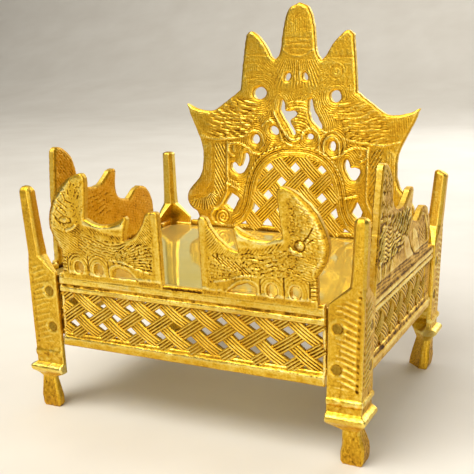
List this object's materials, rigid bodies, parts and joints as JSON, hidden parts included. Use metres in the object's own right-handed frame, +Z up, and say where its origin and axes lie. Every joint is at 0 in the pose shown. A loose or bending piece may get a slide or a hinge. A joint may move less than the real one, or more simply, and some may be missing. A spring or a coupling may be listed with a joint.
{
  "type": "deity simhasan throne",
  "caption": "Small cast brass shrine throne: pierced panels with facing birds and a tall peaked back, riveted to corner posts, around a flat plate for a deity figure.",
  "frame": {"origin": "on the floor, under the middle of the throne's outline", "axes": "+Z up, -Y towards the front with the doorway, +X towards the right of a person facing the front"},
  "size_m": [0.1542, 0.1326, 0.176],
  "materials": {
    "cast_brass": "sand-cast brass, hand filed, brown in the hollows",
    "plate_brass": "polished sheet brass",
    "rivet_brass": "hammered brass wire"
  },
  "bodies": {
    "root": {"post_front_left": "cast_brass", "post_front_right": "cast_brass", "post_back_left": "cast_brass", "post_back_right": "cast_brass", "front_panel": "cast_brass", "back_panel": "cast_brass", "left_panel": "cast_brass", "right_panel": "cast_brass", "seat_plate": "plate_brass", "rivet_front_left_upper": "rivet_brass", "rivet_front_left_lower": "rivet_brass", "rivet_front_right_upper": "rivet_brass", "rivet_front_right_lower": "rivet_brass", "rivet_back_right_upper": "rivet_brass", "rivet_back_right_lower": "rivet_brass", "rivet_back_left_upper": "rivet_brass", "rivet_back_left_lower": "rivet_brass", "rivet_left_back_upper": "rivet_brass", "rivet_left_back_lower": "rivet_brass", "rivet_left_front_upper": "rivet_brass", "rivet_left_front_lower": "rivet_brass", "rivet_right_front_upper": "rivet_brass", "rivet_right_front_lower": "rivet_brass", "rivet_right_back_upper": "rivet_brass", "rivet_right_back_lower": "rivet_brass"}
  },
  "joints": []
}
